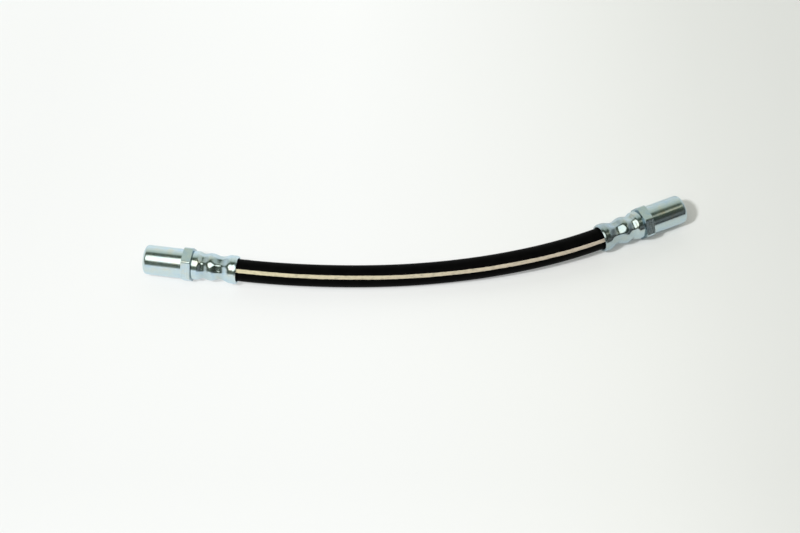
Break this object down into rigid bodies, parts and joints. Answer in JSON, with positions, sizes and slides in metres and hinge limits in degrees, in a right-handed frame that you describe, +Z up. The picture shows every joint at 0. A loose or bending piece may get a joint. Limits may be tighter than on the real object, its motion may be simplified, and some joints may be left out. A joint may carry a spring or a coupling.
{
  "type": "brake hose",
  "caption": "Short flexible hydraulic brake hose: black braided rubber hose with a crimped, zinc-plated female fitting on each end, lying in a gentle arc.",
  "frame": {"origin": "on the surface that the hose lies on, under the centre of the box around the two end fittings", "axes": "+Z up from that surface; +X from the left fitting to the right one, along the line between their end faces; the hose bows towards -Y"},
  "size_m": [0.2622, 0.0345, 0.015],
  "materials": {
    "zinc_plated_steel": "bright zinc plate with a faint blue and straw tint, satin to glossy",
    "turned_steel": "bare turned steel, fine turning marks",
    "cover_rubber": "smooth black extruded rubber with a soft sheen",
    "tube_rubber": "dull black rubber",
    "cream_ink": "thin matt cream marking ink on the rubber",
    "braid_yarn": "tight textile braid"
  },
  "bodies": {
    "root": {"inner_tube": "tube_rubber", "inner_braid": "braid_yarn", "cushion_layer": "tube_rubber", "outer_braid": "braid_yarn", "outer_cover": "cover_rubber", "marking_stripe_near": "cream_ink", "marking_stripe_far": "cream_ink", "left_end_fitting": "zinc_plated_steel", "left_hose_nipple": "turned_steel", "right_end_fitting": "zinc_plated_steel", "right_hose_nipple": "turned_steel"}
  },
  "joints": []
}
